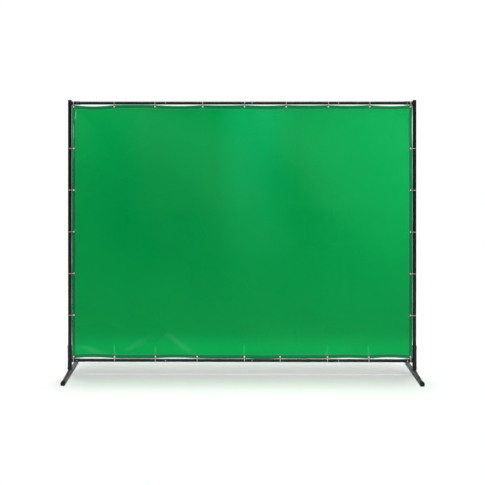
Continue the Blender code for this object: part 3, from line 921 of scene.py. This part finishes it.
TIE_WIDTH = 0.0036
TIE_THICKNESS = 0.0013
TIE_GAP = 0.0005
TIE_BEND = 0.003
HEAD_SIZE = (0.0056, 0.0044, 0.0052)
HEAD_RECESS = 0.0012
TAIL_LENGTH = 0.012
# A tail droops by this many metres for each square metre of its length.
TAIL_DROOP = 12
ROUND_STEPS = 28
BEND_STEPS = 10


def natural_nylon():
    """Natural nylon 66: milky white, slightly see-through at its edges, with the satin of the mould."""
    made, tree, shader = new_material("natural_nylon_66", Roughness=0.38, Transmission_Weight=0.35)
    place = add_node(tree, "ShaderNodeTexCoord").outputs["Object"]
    milk = noise(tree, place, 0.00417, 3.0)
    finish_shader(tree, shader, Base_Color=graded(tree, milk, ((0.3, "#C4C3B9"), (0.7, "#D6D5CC"))))
    return made


nylon = natural_nylon()


def tie_line(tube_radius, reach):
    """The tie's middle line in Y and Z: round the tube at the origin and through the eyelet at -reach."""
    big = tube_radius + TIE_GAP + TIE_THICKNESS / 2
    turn = math.acos((big - TIE_BEND) / reach)
    line = []
    for step in range(ROUND_STEPS + 1):
        angle = turn + (2 * math.pi - 2 * turn) * step / ROUND_STEPS
        line.append((big * math.sin(angle), -big * math.cos(angle)))
    for step in range(BEND_STEPS + 1):
        angle = -turn + 2 * turn * step / BEND_STEPS
        line.append((TIE_BEND * math.sin(angle), -reach - TIE_BEND * math.cos(angle)))
    return line


def make_tie(name, tube_radius, reach):
    """One tie, made about its tube's centre with the eyelet below it."""
    line = tie_line(tube_radius, reach)
    bpy.ops.mesh.primitive_circle_add(vertices=len(line), radius=tube_radius)
    band = bpy.context.object
    band.name = band.data.name = name
    for vert, (y, z) in zip(band.data.vertices, line):
        vert.co = (-TIE_WIDTH / 2, y, z)
    only(band)
    bpy.ops.object.mode_set(mode="EDIT")
    bpy.ops.mesh.select_all(action="SELECT")
    bpy.ops.mesh.extrude_edges_move(TRANSFORM_OT_translate={"value": (TIE_WIDTH, 0, 0)})
    bpy.ops.mesh.select_all(action="SELECT")
    bpy.ops.mesh.normals_make_consistent(inside=False)
    bpy.ops.object.mode_set(mode="OBJECT")
    thick = band.modifiers.new("thickness", "SOLIDIFY")
    thick.thickness, thick.offset = TIE_THICKNESS, 0
    soft = band.modifiers.new("moulded_edges", "BEVEL")
    soft.width, soft.segments = 0.0003, 2
    bpy.ops.object.modifier_apply(modifier=thick.name)
    bpy.ops.object.modifier_apply(modifier=soft.name)

    # The head and the cut tail stand on the rear straight, a little below the tube.
    (start_y, start_z), (end_y, end_z) = line[-1], line[0]
    at_y, at_z = start_y + 0.5 * (end_y - start_y), start_z + 0.5 * (end_z - start_z)
    slope = math.atan2(end_y - start_y, end_z - start_z)
    out_y, out_z = math.cos(slope), -math.sin(slope)
    lift = TIE_THICKNESS / 2 + HEAD_SIZE[1] / 2 - 0.0002
    bpy.ops.mesh.primitive_cube_add(size=1)
    head = bpy.context.object
    head.scale = HEAD_SIZE
    only(head)
    bpy.ops.object.transform_apply(scale=True)
    rounded = head.modifiers.new("rounded", "BEVEL")
    rounded.width, rounded.segments = 0.0007, 3
    bpy.ops.object.modifier_apply(modifier=rounded.name)
    bpy.ops.object.mode_set(mode="EDIT")
    bpy.ops.mesh.select_all(action="DESELECT")
    bpy.ops.object.mode_set(mode="OBJECT")
    outer = max(head.data.polygons, key=lambda face: face.normal.y * face.area)
    outer.select = True
    bpy.ops.object.mode_set(mode="EDIT")
    bpy.ops.mesh.inset(thickness=0.0009)
    bpy.ops.mesh.extrude_region_move(TRANSFORM_OT_translate={"value": (0, -HEAD_RECESS, 0)})
    bpy.ops.object.mode_set(mode="OBJECT")
    settle(head, (0, at_y + out_y * lift, at_z + out_z * lift), (-slope, 0, 0))
    bpy.ops.mesh.primitive_cube_add(size=1)
    tail = bpy.context.object
    tail.scale = (TIE_WIDTH * 0.9, TAIL_LENGTH, TIE_THICKNESS * 0.8)
    only(tail)
    bpy.ops.object.transform_apply(scale=True)
    bpy.ops.object.mode_set(mode="EDIT")
    bpy.ops.mesh.subdivide(number_cuts=4)
    bpy.ops.object.mode_set(mode="OBJECT")
    for vert in tail.data.vertices:
        vert.co.z -= (vert.co.y + TAIL_LENGTH / 2) ** 2 * TAIL_DROOP
    out = lift + HEAD_SIZE[1] / 2 + TAIL_LENGTH / 2 - 0.001
    settle(tail, (0, at_y + out_y * out, at_z + out_z * out), (-slope, 0, 0))
    only(band)
    head.select_set(True)
    tail.select_set(True)
    bpy.ops.object.join()
    bpy.ops.object.shade_smooth_by_angle(angle=math.radians(40))
    return band


def copy_tie(pattern, name, location, turn, node):
    """A copy of a tie with its own mesh, put in its place."""
    tie = pattern.copy()
    tie.data = pattern.data.copy()
    tie.name = name
    bpy.context.scene.collection.objects.link(tie)
    settle(tie, location, turn)
    return finish_piece(tie, "frame", [node] if node else [], nylon)


post_x, post_radius, top_z = post_places["post_right"]
bottom_z = post_places["base_upright_right"][2]
rail_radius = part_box("top_rail_2")[1].y
rail_reach = top_z - (TOP - EYELET_INSET)
post_reach = post_x - (RIGHT - EYELET_INSET)
rail_tie = make_tie("rail_tie", rail_radius, rail_reach)
corner_tie = make_tie("corner_tie", SOCKET_RADIUS, rail_reach)
post_tie = make_tie("post_tie", post_radius, post_reach)
over = (0, 0, 0)
under = (math.pi, 0, math.pi)
for edge, z, turn in (("top", top_z, over), ("bottom", bottom_z, under)):
    for number, x in enumerate(eyelets_x[edge]):
        corner = number in (0, 8)
        node = None if corner else f"tie_{edge}_{number}"
        name = f"corner_tie_{edge}_{'left' if number == 0 else 'right'}" if corner else f"{node}_band"
        copy_tie(corner_tie if corner else rail_tie, name, (x, 0, z), turn, node)
for side_name, side in SIDES:
    for number, z in enumerate(eyelets_z[1:-1], 1):
        node = f"tie_{side_name}_{number}"
        copy_tie(post_tie, f"{node}_band", (side * post_x, 0, z), (0, side * math.pi / 2, 0), node)
for pattern in (rail_tie, corner_tie, post_tie):
    bpy.data.objects.remove(pattern)

# --- Floor, light and camera ----------------------------------------------------------------------
# A white studio: a painted floor that runs back to white paper, two wide overhead lights that throw the soft
# shadow under the screen, one from the front, and three soft boxes that lift parts of the curtain.

FLOOR_SIZE = 9
FLOOR_MIDDLE = 2.2
LENS = 74.336
LENS_SHIFT = (0.0359, -0.2686)

bpy.ops.mesh.primitive_plane_add(size=FLOOR_SIZE, location=(0, FLOOR_MIDDLE, 0))
floor = bpy.context.object
floor.name = "floor"
floor_white, tree, shader = new_material("white_studio_floor", Roughness=0.9)
shader.inputs["Base Color"].default_value = linear("#FBFBFB")
shader.inputs["Specular IOR Level"].default_value = 0.1
floor.data.materials.append(floor_white)

# The white paper behind the screen is seen only in the sheen of the feet: it gives the pieces no light.
paper_place = (0, FLOOR_MIDDLE + FLOOR_SIZE / 2, FLOOR_SIZE / 2)
bpy.ops.mesh.primitive_plane_add(size=FLOOR_SIZE, location=paper_place, rotation=(math.pi / 2, 0, 0))
paper = bpy.context.object
paper.name = "backdrop_paper"
paper_white, tree, shader = new_material("white_studio_paper", Roughness=1.0, Emission_Strength=1.0)
shader.inputs["Base Color"].default_value = linear("#000000")
shader.inputs["Emission Color"].default_value = linear("#FFFFFF")
paper.data.materials.append(paper_white)
paper.visible_diffuse = paper.visible_shadow = False

world = bpy.data.worlds.new("white_studio")
bpy.context.scene.world = world
world.use_nodes = True
tree = world.node_tree
tree.nodes.clear()
sky = add_node(tree, "ShaderNodeBackground", {"Color": (1, 1, 1, 1), "Strength": 0.03})
backdrop = add_node(tree, "ShaderNodeBackground", {"Color": (1, 1, 1, 1), "Strength": 1.0})
seen = add_node(tree, "ShaderNodeLightPath").outputs["Is Camera Ray"]
choice = add_node(tree, "ShaderNodeMixShader", {"Fac": seen})
tree.links.new(sky.outputs["Background"], choice.inputs[1])
tree.links.new(backdrop.outputs["Background"], choice.inputs[2])
output = add_node(tree, "ShaderNodeOutputWorld")
tree.links.new(choice.outputs["Shader"], output.inputs["Surface"])


def soft_box(name, location, aim, width, depth, power, spread):
    """A soft box that stands near the screen and washes one strip of it."""
    bpy.ops.object.light_add(type="AREA", location=location)
    lamp = bpy.context.object
    lamp.name = name
    lamp.data.shape = "RECTANGLE"
    lamp.data.size, lamp.data.size_y = width, depth
    lamp.data.energy = power
    lamp.data.spread = math.radians(spread)
    lamp.visible_camera = lamp.visible_glossy = False
    lamp.rotation_euler = (Vector(aim) - Vector(location)).to_track_quat("-Z", "Y").to_euler()
    return lamp


def wide_light(name, came_from, spread, strength):
    """A studio dome light far away, so that it is as strong at one place as at another."""
    bpy.ops.object.light_add(type="SUN", location=came_from)
    lamp = bpy.context.object
    lamp.name = name
    lamp.data.energy = strength
    lamp.data.angle = math.radians(spread)
    lamp.rotation_euler = (-Vector(came_from)).to_track_quat("-Z", "Y").to_euler()
    return lamp


wide_light("overhead_front", (0.0, -0.77, 5.0), 14.6, 1.50)
wide_light("overhead_rear", (0.0, 0.77, 5.0), 14.6, 1.60)
wide_light("front", (0.8, -5.0, 1.1), 40, 0.785)
soft_box("top_wash", (0.4, -0.9, 2.9), (0.4, 0, 1.80), 4.6, 0.3, 7.8, 52)
soft_box("right_wash", (2.2, -1.2, 1.7), (1.1, 0, 1.22), 0.8, 0.8, 2.0, 60)
soft_box("foot_wash", (0.0, -0.9, 0.03), (0.0, 0, 0.16), 3.0, 0.05, 0.47, 18)

CAMERA_PLACE = (-0.0683, -7.0125, 1.8358)
CAMERA_YAW = 0.0071
bpy.ops.object.camera_add(location=CAMERA_PLACE, rotation=(math.pi / 2, 0, CAMERA_YAW))
camera = bpy.context.object
camera.data.lens = LENS
camera.data.sensor_width = 36
camera.data.shift_x, camera.data.shift_y = LENS_SHIFT
bpy.context.scene.camera = camera
bpy.context.scene.view_settings.view_transform = "Standard"
